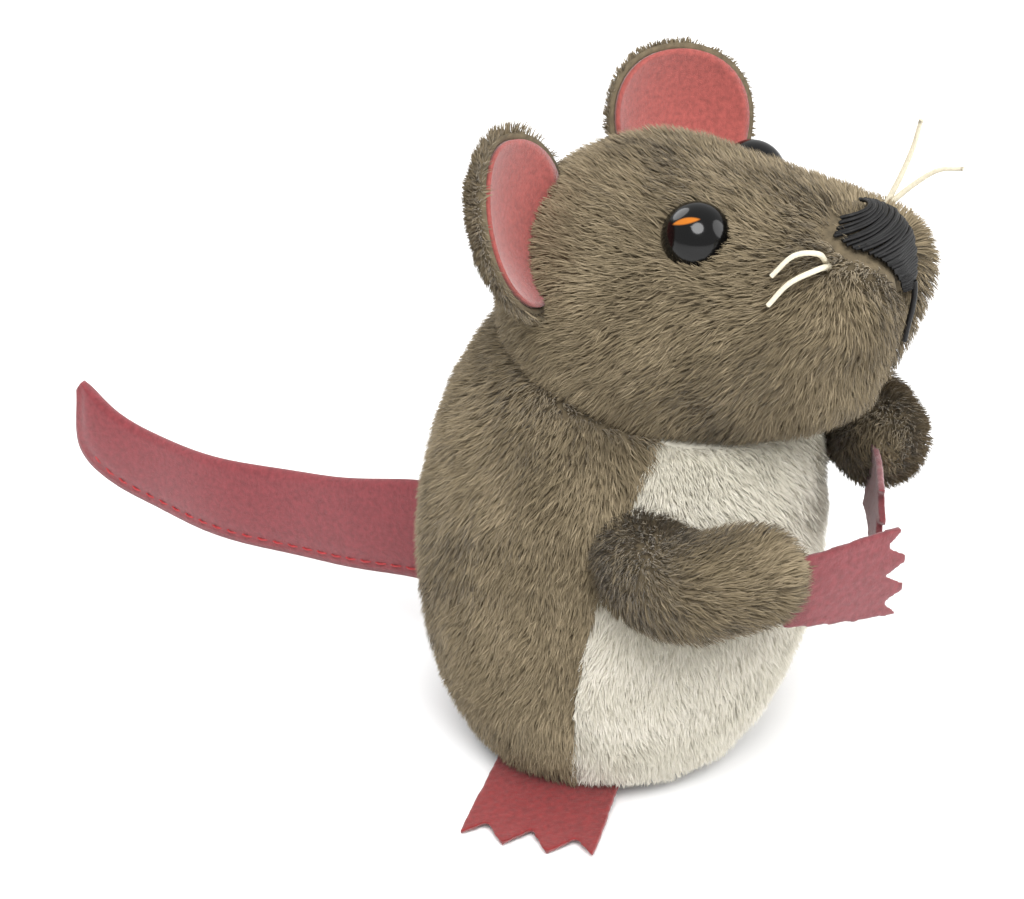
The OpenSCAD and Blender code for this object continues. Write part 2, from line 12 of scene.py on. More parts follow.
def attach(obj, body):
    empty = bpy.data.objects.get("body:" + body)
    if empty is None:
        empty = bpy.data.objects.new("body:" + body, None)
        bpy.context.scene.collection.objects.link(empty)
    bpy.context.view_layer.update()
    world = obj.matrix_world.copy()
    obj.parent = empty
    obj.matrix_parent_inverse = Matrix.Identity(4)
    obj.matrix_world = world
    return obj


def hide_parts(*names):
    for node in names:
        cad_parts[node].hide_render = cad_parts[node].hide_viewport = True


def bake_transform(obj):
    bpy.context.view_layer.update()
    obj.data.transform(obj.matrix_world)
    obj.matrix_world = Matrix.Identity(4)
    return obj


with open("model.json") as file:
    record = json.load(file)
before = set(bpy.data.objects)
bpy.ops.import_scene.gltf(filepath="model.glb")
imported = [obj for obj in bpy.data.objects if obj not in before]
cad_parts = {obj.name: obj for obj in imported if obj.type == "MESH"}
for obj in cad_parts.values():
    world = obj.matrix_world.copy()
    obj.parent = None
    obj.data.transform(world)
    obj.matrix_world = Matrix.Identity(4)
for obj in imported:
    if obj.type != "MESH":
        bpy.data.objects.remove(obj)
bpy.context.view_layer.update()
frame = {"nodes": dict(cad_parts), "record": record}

MM = 0.001
FLOOR_Z = -3.0

# Driving sizes, as the part has them
BODY_R, BODY_H, BODY_LEAN = 30.4, 46.8, math.radians(5)
BODY_CENTRE = np.array([0, -3, 33.6])
SEAM_Y, SEAM_LEAN = -5.8, math.radians(10.8)
NECK_POS = np.array([0, -8.2, 64.3])
NECK_TILT = math.radians(15.8)
NECK_AXIS = np.array([0, -math.sin(NECK_TILT), math.cos(NECK_TILT)])
HEAD_POS = np.array([0, -8.2, 74.1])
HEAD_PITCH, HEAD_YAW = math.radians(20), math.radians(2)
KEY_Y, KEY_Z = 0.0, 22.6
BASE_R = 19
TAIL_ROOT = 28.4

# The eyes' places in the head's frame, their radius, and how deep each one sits in the plush
EYES = {"right": np.array([-13, -16.4, 12.6]), "left": np.array([13, -14.2, 13.4])}
EYE_R = 4.9
EYE_SUNK = {"right": 1.6, "left": 2.1}

# How the fur lies: the skin sits below the pressed pile, and the tips stand above it
SKIN_DEPTH = 1.3


# ---- Vectors ----

def unit(v):
    return v / np.maximum(np.linalg.norm(v, axis=-1, keepdims=True), 1e-9)


def rotation(axis, angle):
    """Matrix that turns by angle about X, Y or Z."""
    c, s = math.cos(angle), math.sin(angle)
    return {"x": np.array([[1, 0, 0], [0, c, -s], [0, s, c]]),
            "y": np.array([[c, 0, s], [0, 1, 0], [-s, 0, c]]),
            "z": np.array([[c, -s, 0], [s, c, 0], [0, 0, 1]])}[axis]


HEAD_TURN = rotation("x", -HEAD_PITCH) @ rotation("z", HEAD_YAW)


def from_head(p):
    """Points in the head's frame, placed in the row frame."""
    return np.asarray(p, float) @ HEAD_TURN.T + HEAD_POS


def turn_from_head(d):
    return np.asarray(d, float) @ HEAD_TURN.T


def frame_along(n):
    """Two directions across n, the first one level, and n itself at length 1."""
    n = unit(np.asarray(n, float))
    across = unit(np.cross([0, 0, 1], n))
    return across, np.cross(n, across), n


def catmull(points, steps):
    """A smooth line through the points, with steps points on each stretch."""
    p = np.asarray(points, float)
    p = np.vstack([2 * p[0] - p[1], p, 2 * p[-1] - p[-2]])
    line = []
    for i in range(1, len(p) - 2):
        for t in np.linspace(0, 1, steps, endpoint=False):
            line.append(0.5 * (2 * p[i] + (p[i + 1] - p[i - 1]) * t
                               + (2 * p[i - 1] - 5 * p[i] + 4 * p[i + 1] - p[i + 2]) * t ** 2
                               + (3 * p[i] - p[i - 1] - 3 * p[i + 1] + p[i + 2]) * t ** 3))
    return np.array(line + [p[-2]])


def waves(p, size, seed):
    """Smooth noise from -1 to 1 over the points, with bumps about size wide."""
    rng = np.random.default_rng(seed)
    total = np.zeros(len(p))
    for _ in range(5):
        direction = unit(rng.normal(size=3)) * rng.uniform(0.7, 1.4)
        total += np.sin(p @ direction * 2 * math.pi / size + rng.uniform(0, 6.3))
    return total / 3


# ---- Meshes ----

def make_object(name, vertices, faces, smooth=True):
    """A mesh object from points in millimetres and faces of 3 or 4 corners."""
    mesh = bpy.data.meshes.new(name)
    vertices = np.asarray(vertices, float) * MM
    mesh.vertices.add(len(vertices))
    mesh.vertices.foreach_set("co", vertices.ravel())
    groups = [np.asarray(f, np.int32) for f in (faces if isinstance(faces, tuple) else (faces,))]
    loops = np.concatenate([g.ravel() for g in groups])
    sizes = np.concatenate([np.full(len(g), g.shape[1], np.int32) for g in groups])
    mesh.loops.add(len(loops))
    mesh.loops.foreach_set("vertex_index", loops)
    mesh.polygons.add(len(sizes))
    mesh.polygons.foreach_set("loop_start", np.concatenate([[0], np.cumsum(sizes)[:-1]]).astype(np.int32))
    mesh.polygons.foreach_set("use_smooth", np.full(len(sizes), smooth))
    mesh.update(calc_edges=True)
    obj = bpy.data.objects.new(name, mesh)
    bpy.context.scene.collection.objects.link(obj)
    return obj


def points_of(obj):
    co = np.zeros(len(obj.data.vertices) * 3, np.float32)
    obj.data.vertices.foreach_get("co", co)
    return co.reshape(-1, 3).astype(float) / MM


def set_points(obj, p):
    obj.data.vertices.foreach_set("co", (np.asarray(p) * MM).astype(np.float32).ravel())
    obj.data.update()


def normals_of(obj):
    n = np.zeros(len(obj.data.vertices) * 3, np.float32)
    obj.data.vertex_normals.foreach_get("vector", n)
    return n.reshape(-1, 3).astype(float)


def apply_modifiers(obj):
    bpy.context.view_layer.update()
    done = obj.evaluated_get(bpy.context.evaluated_depsgraph_get())
    mesh = bpy.data.meshes.new_from_object(done)
    old = obj.data
    obj.modifiers.clear()
    obj.data = mesh
    bpy.data.meshes.remove(old)
    return obj


def sphere_directions(level):
    bm = bmesh.new()
    bmesh.ops.create_icosphere(bm, subdivisions=level, radius=1)
    p = np.array([v.co for v in bm.verts])
    f = np.array([[v.index for v in face.verts] for face in bm.faces])
    bm.free()
    return unit(p), f


def grid_faces(rows, columns, closed):
    """Quads over a grid of points, with the columns joined round if closed."""
    r = np.arange(rows - 1)[:, None]
    c = np.arange(columns if closed else columns - 1)[None, :]
    d = (c + 1) % columns
    return np.stack([r * columns + c, r * columns + d, (r + 1) * columns + d, (r + 1) * columns + c],
                    -1).reshape(-1, 4)


def tube(name, line, radius, sides):
    """A closed round tube along the line; radius may change along it."""
    line = np.asarray(line, float)
    radius = np.broadcast_to(radius, len(line))
    ahead = unit(np.gradient(line, axis=0))
    across = np.zeros_like(line)
    reference = np.array([0.13, 0.31, 0.94])
    for i, a in enumerate(ahead):
        reference = reference - a * (reference @ a)
        reference = reference / np.linalg.norm(reference)
        across[i] = reference
    up = np.cross(ahead, across)
    angle = np.linspace(0, 2 * math.pi, sides, endpoint=False)
    rings = (line[:, None] + radius[:, None, None] * (np.cos(angle)[None, :, None] * across[:, None]
             + np.sin(angle)[None, :, None] * up[:, None]))
    n = len(line)
    vertices = np.vstack([rings.reshape(-1, 3), line[0] - ahead[0] * radius[0] * 0.6,
                          line[-1] + ahead[-1] * radius[-1] * 0.6])
    k = np.arange(sides)
    start = np.stack([np.full(sides, n * sides), (k + 1) % sides, k], 1)
    end = np.stack([np.full(sides, n * sides + 1), (n - 1) * sides + k, (n - 1) * sides + (k + 1) % sides], 1)
    return make_object(name, vertices, (grid_faces(n, sides, True), start[:, ::-1], end[:, ::-1]))


def join(name, pieces):
    """One object from several."""
    bm = bmesh.new()
    for piece in pieces:
        bm.from_mesh(piece.data)
    mesh = bpy.data.meshes.new(name)
    bm.to_mesh(mesh)
    bm.free()
    for piece in pieces:
        bpy.data.objects.remove(piece)
    obj = bpy.data.objects.new(name, mesh)
    bpy.context.scene.collection.objects.link(obj)
    return obj


# ---- Materials ----

def principled(name, color, roughness, **sockets):
    """A Principled material, with its shader and node tree."""
    material = bpy.data.materials.new(name)
    material.use_nodes = True
    tree = material.node_tree
    shader = tree.nodes["Principled BSDF"]
    shader.inputs["Base Color"].default_value = (*color, 1)
    shader.inputs["Roughness"].default_value = roughness
    for key, value in sockets.items():
        shader.inputs[key.replace("_", " ")].default_value = value
    return material, shader, tree


def noise(tree, scale, detail=3.0, stretch=(1, 1, 1)):
    """Noise over the object's own coordinates, with scale in bumps per metre."""
    place = tree.nodes.new("ShaderNodeTexCoord")
    mapping = tree.nodes.new("ShaderNodeMapping")
    mapping.inputs["Scale"].default_value = stretch
    texture = tree.nodes.new("ShaderNodeTexNoise")
    texture.inputs["Scale"].default_value = scale
    texture.inputs["Detail"].default_value = detail
    tree.links.new(place.outputs["Object"], mapping.inputs["Vector"])
    tree.links.new(mapping.outputs["Vector"], texture.inputs["Vector"])
    return texture.outputs["Fac"]


def ramp(tree, source, stops):
    node = tree.nodes.new("ShaderNodeValToRGB")
    while len(node.color_ramp.elements) < len(stops):
        node.color_ramp.elements.new(0.5)
    for element, (place, color) in zip(node.color_ramp.elements, stops):
        element.position = place
        element.color = (*color, 1)
    tree.links.new(source, node.inputs["Fac"])
    return node.outputs["Color"]


def bump(tree, shader, source, strength, distance):
    node = tree.nodes.new("ShaderNodeBump")
    node.inputs["Strength"].default_value = strength
    node.inputs["Distance"].default_value = distance
    tree.links.new(source, node.inputs["Height"])
    tree.links.new(node.outputs["Normal"], shader.inputs["Normal"])


def rgb(r, g, b):
    """A colour given as 0 to 255, in linear light."""
    return tuple(((c / 255 + 0.055) / 1.055) ** 2.4 if c > 10 else c / 255 / 12.92 for c in (r, g, b))


def scaled(color, k):
    return tuple(min(1, c * k) for c in color)


def patterned(name, color, roughness, scale, spread, relief=0.6, depth=0.0001, stretch=(1, 1, 1), **sockets):
    """Colour mottled by spread, and relief up to depth metres, from noise of scale bumps per metre."""
    material, shader, tree = principled(name, color, roughness, **sockets)
    coarse = noise(tree, scale, 5.0, stretch)
    tree.links.new(ramp(tree, coarse, [(0.3, scaled(color, 1 - spread)), (0.7, scaled(color, 1 + spread))]),
                   shader.inputs["Base Color"])
    bump(tree, shader, noise(tree, scale * 4, 2.0, stretch), relief, depth)
    return material


# The pile's dark, middle and light strands
GREY = [rgb(103, 91, 70), rgb(121, 108, 84), rgb(141, 127, 102)]
WHITE = [rgb(196, 191, 176), rgb(206, 201, 187), rgb(216, 211, 199)]
TONE_NAMES = ["dark", "mid", "light"]


def pile_materials(name, tones):
    return [principled(f"{name}_{t}", c, 0.75, Sheen_Weight=0.15, Specular_IOR_Level=0.25)[0]
            for t, c in zip(TONE_NAMES, tones)]


def felt(name, color):
    return patterned(name, color, 0.95, 1400, spread=0.22, relief=0.9, depth=0.00012, Sheen_Weight=0.3)


def cotton(name, color, spread, relief=0.5, **sockets):
    return patterned(name, color, 0.5, 2600, spread, relief, depth=0.00005, **sockets)


def metal(name, color, roughness, scale, spread, stretch):
    return patterned(name, color, roughness, scale, spread, relief=0.25, depth=0.00003, stretch=stretch,
                     Metallic=1.0)


def moulding(name, color, roughness, scale, spread, relief):
    return patterned(name, color, roughness, scale, spread, relief, depth=0.00004)


GREY_PILE = pile_materials("grey_pile", GREY)
WHITE_PILE = pile_materials("white_pile", WHITE)
GREY_SKIN = patterned("grey_knit", scaled(GREY[0], 0.8), 0.95, 900, spread=0.3)
WHITE_SKIN = patterned("white_knit", scaled(WHITE[0], 0.85), 0.95, 900, spread=0.15)
HAND_FELT = felt("pink_felt", rgb(112, 50, 54))
EAR_FELT = felt("ear_felt", rgb(144, 68, 62))
FOOT_FELT = felt("red_felt", rgb(118, 30, 30))
TAIL_FELT = felt("tail_felt", rgb(116, 44, 49))
BLACK_THREAD = cotton("black_thread", rgb(11, 10, 10), 0.5, relief=0.6, Specular_IOR_Level=0.3)
CREAM_THREAD = cotton("cream_thread", rgb(204, 196, 174), 0.12)
RED_THREAD = cotton("red_thread", rgb(150, 34, 38), 0.2)
STEEL = metal("bright_steel", rgb(176, 178, 182), 0.32, 500, 0.1, (1, 1, 8))
BRASS = metal("stamped_brass", rgb(214, 176, 96), 0.3, 400, 0.14, (1, 8, 1))
BLACK_PLASTIC = moulding("black_moulding", rgb(26, 26, 27), 0.5, 1100, 0.3, 0.3)
WHITE_PLASTIC = moulding("white_moulding", rgb(228, 226, 218), 0.35, 900, 0.05, 0.2)
RED_PLASTIC = moulding("red_moulding", rgb(176, 40, 34), 0.32, 900, 0.1, 0.2)
RUBBER = patterned("tyre_rubber", rgb(28, 27, 26), 0.85, 1600, spread=0.3, depth=0.00006)

# The amber crescent is the amber iris with painted light: it shows only where light comes through the dome.
# It is where two circles overlap, with their centres from the middle of the eye
EYE_BLACK, AMBER = rgb(7, 7, 7), rgb(170, 98, 26)
CRESCENT_CENTRES = [(-1.9, 4.4), (0.5, -3.0)]
CRESCENT_R, CRESCENT_EDGE = 4.5, 0.3


def eye_material():
    """Black glass with an amber crescent in it, above the middle of the eye: the amber iris, painted only
    where light shows through the dome.
    """
    material, shader, tree = principled("eye_gloss", EYE_BLACK, 0.12, Specular_IOR_Level=0.28)
    place = tree.nodes.new("ShaderNodeTexCoord")
    overlap = tree.nodes.new("ShaderNodeMath")
    overlap.operation = "MULTIPLY"
    for k, (x, y) in enumerate(CRESCENT_CENTRES):
        shift = tree.nodes.new("ShaderNodeVectorMath")
        shift.operation = "MULTIPLY_ADD"
        shift.inputs[1].default_value = (1 / MM, 1 / MM, 0)
        shift.inputs[2].default_value = (-x, -y, 0)
        distance = tree.nodes.new("ShaderNodeVectorMath")
        distance.operation = "LENGTH"
        inside = tree.nodes.new("ShaderNodeMapRange")
        inside.inputs["From Min"].default_value = CRESCENT_R
        inside.inputs["From Max"].default_value = CRESCENT_R - CRESCENT_EDGE
        tree.links.new(place.outputs["Object"], shift.inputs[0])
        tree.links.new(shift.outputs["Vector"], distance.inputs[0])
        tree.links.new(distance.outputs["Value"], inside.inputs["Value"])
        tree.links.new(inside.outputs["Result"], overlap.inputs[k])
    tree.links.new(ramp(tree, overlap.outputs[0], [(0.1, EYE_BLACK), (0.9, AMBER)]),
                   shader.inputs["Base Color"])
    return material


# ---- Fur ----

# How dense the pile is, how many strands lean together and how far each one strays, in radians
STRANDS_PER_MM2 = 10.0
STRANDS_PER_CLUMP = 9
STRAY = 0.3

# The brightness at which one tone passes into the next
TONE_EDGES = [-math.inf, 0.3, 0.68, math.inf]

# How deep a strand is rooted, where it bends as a share of its length, and how far the bend lifts it
ROOT_DEPTH = 0.3
KNEE_AT, KNEE_LIFT = 0.45, 0.22


def sample_surface(obj, rng, keep):
    """Random points on the object that pass keep, with their normals."""
    p, n = points_of(obj), normals_of(obj)
    obj.data.calc_loop_triangles()
    t = np.zeros(len(obj.data.loop_triangles) * 3, np.int32)
    obj.data.loop_triangles.foreach_get("vertices", t)
    t = t.reshape(-1, 3)
    area = np.linalg.norm(np.cross(p[t[:, 1]] - p[t[:, 0]], p[t[:, 2]] - p[t[:, 0]]), axis=1) / 2
    pick = rng.choice(len(t), int(area.sum() * STRANDS_PER_MM2), p=area / area.sum())
    a, b = rng.random((2, len(pick)))
    a, b = np.where(a + b > 1, 1 - a, a), np.where(a + b > 1, 1 - b, b)
    corners = t[pick]
    weights = np.stack([1 - a - b, a, b], 1)[:, :, None]
    points = (p[corners] * weights).sum(1)
    normals = unit((n[corners] * weights).sum(1))
    kept = keep(points, normals)
    return points[kept], normals[kept]


def nearest_of(targets):
    """A search tree over the target points."""
    tree = KDTree(len(targets))
    for i, q in enumerate(targets):
        tree.insert(q, i)
    tree.balance()
    return tree


def clumped(tips, points, rng, pull):
    """Draws each strand's tip towards that of the nearest of a few leading strands."""
    leaders = rng.choice(len(points), max(1, len(points) // STRANDS_PER_CLUMP), replace=False)
    tree = nearest_of(points[leaders])
    nearest = leaders[[tree.find(q)[1] for q in points]]
    return tips + (tips[nearest] - tips) * pull


def grow_fur(name, skin, comb, materials, seed, keep, tone=None, trim=None,
             length=2.7, height=1.9, width=0.19, pull=0.3):
    """Tapered strands in three tones, each tone its own piece.

    comb gives the way the pile lies at each point, keep says where it grows, tone shifts its brightness
    with painted light and shade, and trim shortens it.
    """
    rng = np.random.default_rng(seed)
    points, normals = sample_surface(skin, rng, keep)
    count = len(points)
    flow = comb(points)
    flow = unit(flow - normals * (flow * normals).sum(1, keepdims=True))
    aside = np.cross(normals, flow)
    swirl = 0.45 * waves(points, 26, seed + 1) + 0.3 * waves(points, 9, seed + 2)
    swirl = swirl + STRAY * rng.normal(size=count)
    flow = flow * np.cos(swirl)[:, None] + aside * np.sin(swirl)[:, None]
    aside = np.cross(normals, flow)
    reach = length * (1 + 0.2 * rng.normal(size=count)).clip(0.5, 1.5)
    lift = height * (1 + 0.16 * waves(points, 6, seed + 3) + 0.14 * rng.normal(size=count)).clip(0.5, 1.35)
    if trim:
        left = trim(points)
        reach, lift = reach * left, lift * left
    roots = points - normals * ROOT_DEPTH
    tips = points + flow * reach[:, None] * 0.8 + normals * lift[:, None]
    tips = clumped(tips, points, rng, pull)
    twist = rng.normal(size=count) * 0.4
    wide = aside * np.cos(twist)[:, None] + normals * np.sin(twist)[:, None]
    half = wide * (width / 2 * rng.uniform(0.7, 1.3, count))[:, None]
    knee = roots + (tips - roots) * KNEE_AT + normals * (KNEE_LIFT * lift)[:, None]
    vertices = np.stack([roots - half, roots + half, knee + half * 0.85, knee - half * 0.85, tips], 1)
    brightness = (0.5 + 0.22 * waves(points, 14, seed + 4) + 0.28 * rng.normal(size=count)
                  + (tone(points, normals) if tone else 0))
    pieces = []
    for k, label in enumerate(TONE_NAMES):
        chosen = vertices[(brightness >= TONE_EDGES[k]) & (brightness < TONE_EDGES[k + 1])]
        first = np.arange(len(chosen))[:, None] * 5
        obj = make_object(f"{name}_{label}", chosen.reshape(-1, 3),
                          (first + np.array([[0, 1, 2, 3]]), first + np.array([[3, 2, 4]])))
        obj.data.materials.append(materials[k])
        pieces.append(obj)
    return pieces


# ---- Padded forms ----

SIM_FRAMES = 20
BODY_PUFF, HEAD_PUFF, ARM_PUFF = 0.7, 0.5, 0.4


def puff(obj, pinned, cap):
    """Blows the form up as stuffed cloth that is sewn down where pinned, moving no point past cap."""
    before = points_of(obj)
    group = obj.vertex_groups.new(name="sewn")
    for i, w in enumerate(pinned):
        if w > 0.01:
            group.add([i], float(w), "REPLACE")
    cloth = obj.modifiers.new("cloth", "CLOTH")
    s = cloth.settings
    s.quality = 5
    s.mass = 0.00005
    s.use_pressure = True
    s.uniform_pressure_force = 4
    s.tension_stiffness = s.compression_stiffness = 3
    s.bending_stiffness = 0.05
    s.vertex_group_mass = "sewn"
    s.effector_weights.gravity = 0
    cloth.point_cache.frame_start, cloth.point_cache.frame_end = 1, SIM_FRAMES
    for f in range(1, SIM_FRAMES + 1):
        bpy.context.scene.frame_set(f)
    apply_modifiers(obj)
    move = points_of(obj) - before
    move = np.where(np.isfinite(move), move, 0)
    far = np.linalg.norm(move, axis=1, keepdims=True)
    set_points(obj, before + move * np.minimum(1, cap / np.maximum(far, 1e-9)))
    bpy.context.scene.frame_set(1)
    smooth = obj.modifiers.new("smooth", "SUBSURF")
    smooth.levels = smooth.render_levels = 1
    return apply_modifiers(obj)


def egg_radius(directions, grow):
    """Distance from the egg's centre to its surface in each direction."""
    d = directions @ rotation("x", BODY_LEAN)
    r, h = BODY_R + grow, BODY_H + grow
    return 1 / np.sqrt((d[:, 0] ** 2 + d[:, 1] ** 2) / r ** 2 + d[:, 2] ** 2 / h ** 2)


def ahead_of_seam(p):
    """How far each point lies in front of the side seams."""
    n = np.array([0, -math.cos(SEAM_LEAN), -math.sin(SEAM_LEAN)])
    return (p - [0, SEAM_Y, 0]) @ n


def above_neck(p):
    return (p - NECK_POS) @ NECK_AXIS


# How far the stitches draw the body's side seams in, how wide the dip is and where it starts
SEAM_DIP, SEAM_WIDTH, SEAM_START = 0.9, 2.2, 4
HEM_Z = 0.2


def body_form():
    directions, faces = sphere_directions(5)
    p = BODY_CENTRE + directions * egg_radius(directions, -SKIN_DEPTH)[:, None]
    seam = np.exp(-(ahead_of_seam(p) / SEAM_WIDTH) ** 2) * (p[:, 2] > SEAM_START)
    p -= directions * (SEAM_DIP * seam)[:, None]
    over = above_neck(p) + 0.5
    p -= np.maximum(over, 0)[:, None] * NECK_AXIS
    p[:, 2] = np.maximum(p[:, 2], HEM_Z)
    open_base = (np.hypot(p[:, 0], p[:, 1]) < BASE_R + 0.2) & (p[:, 2] < HEM_Z + 0.05)
    obj = make_object("body_padding", p, faces[~open_base[faces].all(1)])
    bm = bmesh.new()
    bm.from_mesh(obj.data)
    loose = [v for v in bm.verts if not v.link_faces]
    bmesh.ops.delete(bm, geom=loose, context="VERTS")
    bm.to_mesh(obj.data)
    bm.free()
    q = points_of(obj)
    at_an_edge = (q[:, 2] < 1.5) | (above_neck(q) > -1.5)
    pinned = np.maximum(np.exp(-(ahead_of_seam(q) / 1.5) ** 2), at_an_edge)
    return puff(obj, pinned, BODY_PUFF)


# Balls that the head's skin is stretched over, as centre and radius in the head's frame
HEAD_BALLS = [((0, 0, 0), 23.6), ((0, -27, 2.5), 10), ((0, -21, -8.6), 14), ((-6, -31, -2), 9.4),
              ((6, -31, -2), 9.4)]
HEAD_HEART = np.array([0, -7, 0])
SKIN_BLEND = 0.45

# The muzzle's front lies ahead of MUZZLE_Y. Under the nose it has a groove, and the eyes have sockets.
MUZZLE_Y = -30
GROOVE_DEPTH, GROOVE_WIDTH = 2.9, 1.9
SOCKET_DEPTH, SOCKET_WIDTH, SOCKET_OUT = 1.1, 5.5, 1.12


def head_radius(directions, grow):
    """Distance from the head's heart to a skin stretched over its balls, in each direction."""
    steps = 5
    mixes = [w for w in np.ndindex(*(steps + 1,) * len(HEAD_BALLS)) if sum(w) == steps]
    centres, sizes = np.array([b[0] for b in HEAD_BALLS], float), np.array([b[1] for b in HEAD_BALLS])
    mixes = np.array(mixes) / steps
    centre, size = mixes @ centres - HEAD_HEART, mixes @ sizes + grow
    along = directions @ centre.T
    inside = along ** 2 - (centre ** 2).sum(1) + size ** 2
    reach = along + np.sign(inside) * np.sqrt(np.abs(inside))
    top = reach.max(1, keepdims=True)
    return top[:, 0] + SKIN_BLEND * np.log(np.exp((reach - top) / SKIN_BLEND).sum(1)) - SKIN_BLEND * 1.2


def in_head(p):
    """Points of the row frame, in the head's frame."""
    return (p - HEAD_POS) @ HEAD_TURN


def head_form():
    directions, faces = sphere_directions(5)
    p = HEAD_HEART + directions * head_radius(directions, -SKIN_DEPTH)[:, None]
    front = np.clip((MUZZLE_Y - p[:, 1]) / 6, 0, 1)
    groove = np.exp(-(p[:, 0] / GROOVE_WIDTH) ** 2) * front * np.clip((1 - p[:, 2]) / 4, 0, 1)
    p -= directions * (GROOVE_DEPTH * groove)[:, None]
    for eye in EYES.values():
        near = np.linalg.norm(p - eye * SOCKET_OUT, axis=1)
        p -= directions * (SOCKET_DEPTH * np.exp(-(near / SOCKET_WIDTH) ** 2))[:, None]
    p = from_head(p)
    under = -above_neck(p) + 0.5
    p += np.maximum(under, 0)[:, None] * NECK_AXIS
    obj = make_object("head_padding", p, faces)
    local = in_head(points_of(obj))
    in_groove = np.exp(-(local[:, 0] / 1.6) ** 2) * (local[:, 1] < MUZZLE_Y)
    pinned = np.maximum(above_neck(points_of(obj)) < 1.5, in_groove)
    return puff(obj, pinned, HEAD_PUFF)


# The arm's middle line on the left, from inside the body to the wrist, and how far each wrist is raised
ARM_PATH = [[18.6, -15.0, 45.5], [25.6, -21.2, 45.4], [27.2, -28, 45.6], [20.6, -34.8, 45.8]]
ARM_R = 7.5
ARM_LIFT = {"right": 0, "left": 2}
ARM_STEPS = 8
ARM_SEWN_Y = -12


def arm_line(side):
    path = np.array(ARM_PATH, float)
    path[:, 2] += ARM_LIFT[side] * np.linspace(0, 1, len(path))
    path[:, 0] *= 1 if side == "left" else -1
    return catmull(path, ARM_STEPS)


def arm_form(side):
    line = arm_line(side)
    t = np.linspace(0, 1, len(line))
    end = unit(line[-1] - line[-2])
    rounding = np.sin(np.linspace(0, 1, 7)[1:-1] * math.pi / 2)
    r = (ARM_R - SKIN_DEPTH) * (1.0 + 0.08 * np.sin(math.pi * t))
    tip = [line[-1] + end * s * r[-1] for s in rounding]
    r_tip = [r[-1] * math.sqrt(max(0.02, 1 - s * s)) for s in rounding]
    obj = tube(f"{side}_arm_padding", np.vstack([line, tip]), np.concatenate([r, r_tip]), 24)
    return puff(obj, points_of(obj)[:, 1] > ARM_SEWN_Y, ARM_PUFF)


# ---- The muzzle's surface ----

# The nose's rows of stitches, from top to bottom, and half its width at each height
NOSE_ROWS, NOSE_TOP, NOSE_BOTTOM = 34, 8.6, -3.4
NOSE_HALF_WIDTHS = {-3.4: 0.8, 0: 3.2, 5.8: 7.1, 7.4: 6.4, 8.6: 3.4}


def face_point(x, z, grow):
    """The point on the front of the muzzle at x and z, in the head's frame."""
    low, high = 0.0, 40.0
    for _ in range(24):
        middle = (low + high) / 2
        q = np.array([x, -middle, z]) - HEAD_HEART
        far = np.linalg.norm(q)
        inside = far < head_radius((q / far)[None], grow)[0]
        low, high = (middle, high) if inside else (low, middle)
    return np.array([x, -low, z])


def nose_lines():
    """Satin stitches side by side down the nose, bowed over a small pad and drawn in towards the mouth."""
    rng = np.random.default_rng(71)
    lines = []
    for i in range(NOSE_ROWS):
        z = NOSE_TOP - (NOSE_TOP - NOSE_BOTTOM) * i / (NOSE_ROWS - 1)
        half = float(np.interp(z, list(NOSE_HALF_WIDTHS), list(NOSE_HALF_WIDTHS.values())))
        slant, over = rng.normal() * 0.035, rng.uniform(0, 0.22)
        drawn_in = 1.3 * min(1, max(0, (3 - z) / 6))
        line = []
        for x in np.linspace(-half, half, 11):
            t = 1 - (x / half) ** 2
            lift = -0.5 + 1.2 * t ** 0.7 + over - drawn_in
            line.append(face_point(x, z + slant * x + 0.5 * (1 - t) * (0.5 - i / NOSE_ROWS), lift))
        lines.append(np.array(line))
    return lines


NOSE_LINES = nose_lines()


# ---- Soft covers ----

# The bare patches round the key's stem, along the tail's root and round the nose's threads
KEY_CLEAR = 5.4
TAIL_CLEAR, TAIL_FROM, TAIL_TO = 1.9, 12.5, 31
THREAD_CLEAR, NOSE_BACK = 1.5, -28


def on_the_body(side_of_seam):
    """A test that leaves strands out past the seam, near the key and tail, at the neck and below the hem."""
    def keep(p, n):
        x, y, z = p.T
        near_key = (np.hypot(y - KEY_Y, z - KEY_Z) < KEY_CLEAR) & (x > 20)
        near_tail = (abs(x) < TAIL_CLEAR) & (y > 20) & (z < TAIL_TO) & (z > TAIL_FROM)
        return (z > 0.9) & (above_neck(p) < -0.6) & ~near_key & ~near_tail & side_of_seam(ahead_of_seam(p))
    return keep


def down_the_body(p):
    return np.stack([0.1 * p[:, 0], 0.25 * (p[:, 1] + 3), np.full(len(p), -26.0)], 1)


# Painted shade: the belly pile is darkened towards the chest, where the head shades it.
def painted_shade_under_the_head(p, n):
    return -0.5 * np.clip((p[:, 2] - 48) / 12, 0, 1)


def make_body():
    skin = body_form()
    skin.data.materials.append(GREY_SKIN)
    skin.data.materials.append(WHITE_SKIN)
    centres = np.zeros(len(skin.data.polygons) * 3, np.float32)
    skin.data.polygons.foreach_get("center", centres)
    front = ahead_of_seam(centres.reshape(-1, 3) / MM) > 0
    skin.data.polygons.foreach_set("material_index", front.astype(np.int32))
    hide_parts("back_plush", "belly_plush", "body_stuffing")
    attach(skin, "torso")
    pieces = grow_fur("back_pile", skin, down_the_body, GREY_PILE, 11,
                      on_the_body(lambda ahead: ahead < 0.2))
    pieces += grow_fur("belly_pile", skin, down_the_body, WHITE_PILE, 21,
                       on_the_body(lambda ahead: ahead > 0.2), tone=painted_shade_under_the_head,
                       length=2.0, height=1.5, width=0.17, pull=0.2)
    for piece in pieces:
        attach(piece, "torso")


def back_over_the_head(p):
    local = in_head(p)
    away = local - np.array([0, -38, 5])
    away[:, 1] += 14
    away[:, 2] -= 0.4 * np.abs(local[:, 0])
    return turn_from_head(away)


